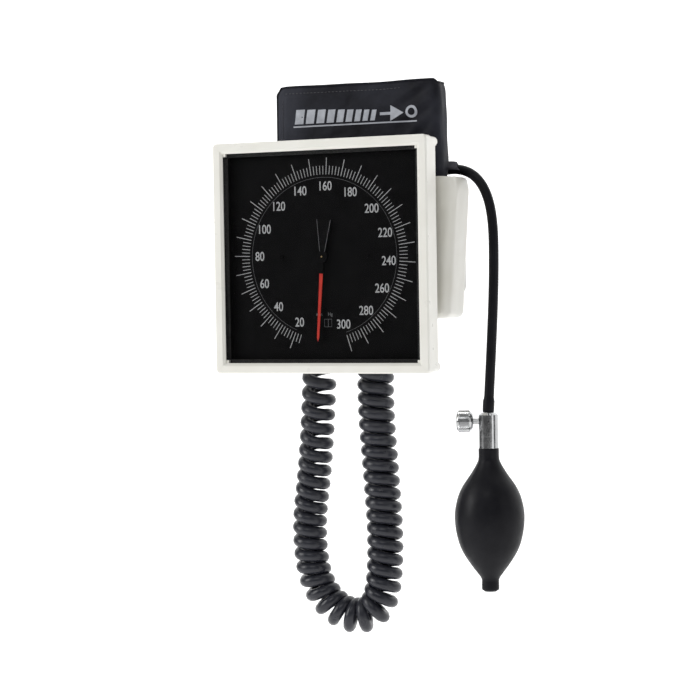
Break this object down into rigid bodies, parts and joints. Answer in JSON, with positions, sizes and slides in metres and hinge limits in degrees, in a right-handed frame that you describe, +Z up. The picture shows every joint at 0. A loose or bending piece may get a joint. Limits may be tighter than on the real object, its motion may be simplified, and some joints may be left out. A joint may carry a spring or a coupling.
{
  "type": "wall-mounted aneroid blood pressure gauge",
  "caption": "Square dial gauge on a wall basket that stores a folded arm cuff, with a coiled hose, an air release valve and a squeeze bulb on a second hose.",
  "frame": {"origin": "centre of the wall plate's rectangle of screw holes, on the wall plane", "axes": "+Y into the wall along the screw holes, +Z up, the dial faces -Y"},
  "size_m": [0.2237, 0.0715, 0.3966],
  "materials": {
    "case_white": "warm off-white moulded plastic, soft gloss",
    "lens_clear": "clear flat window",
    "dial_black": "matt black dial with printed light grey scale",
    "foam_black": "closed-cell foam",
    "plate_grey": "grey glass-filled plastic",
    "steel": "bright steel",
    "brass": "machined brass",
    "bronze_diaphragm": "thin corrugated bronze",
    "pointer_black": "matt black paint",
    "pointer_red": "red paint",
    "chrome": "polished chrome plate",
    "rubber_black": "matt black rubber",
    "hose_slate": "satin dark slate rubber",
    "nylon_fitting": "black nylon fitting",
    "cuff_nylon": "coated black nylon weave with a soft sheen",
    "cuff_welt": "woven tape",
    "hook_loop": "hook and loop pile",
    "label_grey": "printed light grey band"
  },
  "bodies": {
    "wall_unit": {"wall_plate": "plate_grey", "lock_screw": "steel", "basket": "case_white", "gauge_bracket": "plate_grey", "gauge_screws": "steel", "hose_grommet": "rubber_black", "bezel": "case_white", "lens": "lens_clear", "lens_gasket": "foam_black", "dial_spacer": "dial_black", "dial_plate": "dial_black", "dial_screws": "pointer_black", "rear_cover": "case_white", "case_screws": "steel", "movement_front_plate": "brass", "movement_back_plate": "brass", "movement_posts": "brass", "movement_pillars": "brass", "movement_screws": "steel", "hairspring": "steel", "capsule_base": "brass", "capsule_diaphragm": "bronze_diaphragm", "gauge_port": "nylon_fitting", "inner_tube": "rubber_black", "coil_hose": "hose_slate", "coupling_socket": "nylon_fitting"},
    "pointer": {"pointer_hub": "pointer_black", "pointer_blade": "pointer_red", "pinion_arbor": "brass"},
    "sector": {"sector_gear": "brass"},
    "rocker": {"rocking_shaft": "steel"},
    "capsule_head": {"capsule_head": "brass"},
    "cuff": {"cuff_outer_fabric": "cuff_nylon", "cuff_inner_fabric": "cuff_nylon", "cuff_seam_welt": "cuff_welt", "bladder": "rubber_black", "hook_patch": "hook_loop", "loop_patch": "hook_loop", "range_label": "label_grey", "bladder_port_gauge": "nylon_fitting", "bladder_port_bulb": "nylon_fitting", "bladder_tube": "rubber_black", "coupling_plug": "nylon_fitting", "tube_sleeve": "cuff_nylon", "bulb_hose": "rubber_black", "valve_body": "chrome", "bulb": "rubber_black", "bulb_inlet_valve": "nylon_fitting", "outlet_flap_cage": "nylon_fitting"},
    "needle": {"valve_needle": "brass"},
    "thumbscrew": {"valve_stem": "chrome", "valve_o_ring": "rubber_black", "thumbscrew_knob": "chrome"},
    "inlet_ball": {"inlet_ball": "steel"},
    "outlet_flap": {"outlet_flap": "rubber_black"}
  },
  "joints": [
    {"name": "pointer_turn", "type": "hinge", "parent": "wall_unit", "child": "pointer", "pos_m": [0, -0.065, -0.01], "axis": [0, 1, 0], "range_deg": [0, 340], "stiffness_Nm_per_rad": 0.0002, "springref_deg": -28.65},
    {"name": "sector_turn", "type": "hinge", "parent": "wall_unit", "child": "sector", "pos_m": [0, -0.058, -0.0298], "axis": [0, 1, 0], "range_deg": [-36, 1]},
    {"name": "rocker_turn", "type": "hinge", "parent": "wall_unit", "child": "rocker", "pos_m": [0, -0.0538, -0.0298], "axis": [1, 0, 0], "range_deg": [-1, 21.5]},
    {"name": "capsule_stroke", "type": "slide", "parent": "wall_unit", "child": "capsule_head", "axis": [0, -1, 0], "range_m": [-0.00005, 0.0022]},
    {"name": "cuff_lift", "type": "slide", "parent": "wall_unit", "child": "cuff", "axis": [0.12, 0, 0.9928], "range_m": [0, 0.15]},
    {"name": "needle_travel", "type": "slide", "parent": "cuff", "child": "needle", "axis": [-0.9511, -0.309, 0], "range_m": [0, 0.0014]},
    {"name": "thumbscrew_turn", "type": "hinge", "parent": "needle", "child": "thumbscrew", "pos_m": [0.1086, -0.026, -0.1275], "axis": [-0.9511, -0.309, 0], "range_deg": [-10, 730]},
    {"name": "inlet_ball_lift", "type": "slide", "parent": "cuff", "child": "inlet_ball", "axis": [0, 0, 1], "range_m": [0, 0.0008]},
    {"name": "outlet_flap_lift", "type": "slide", "parent": "cuff", "child": "outlet_flap", "axis": [0, 0, 1], "range_m": [0, 0.0006]}
  ],
  "couplings": [
    {"joint": "sector_turn", "follows": "pointer_turn", "ratio": -0.1},
    {"joint": "rocker_turn", "follows": "pointer_turn", "ratio": 0.058823},
    {"joint": "capsule_stroke", "follows": "pointer_turn", "m_per_rad": 0.00033703},
    {"joint": "thumbscrew_turn", "follows": "needle_travel", "rad_per_m": 8976}
  ]
}
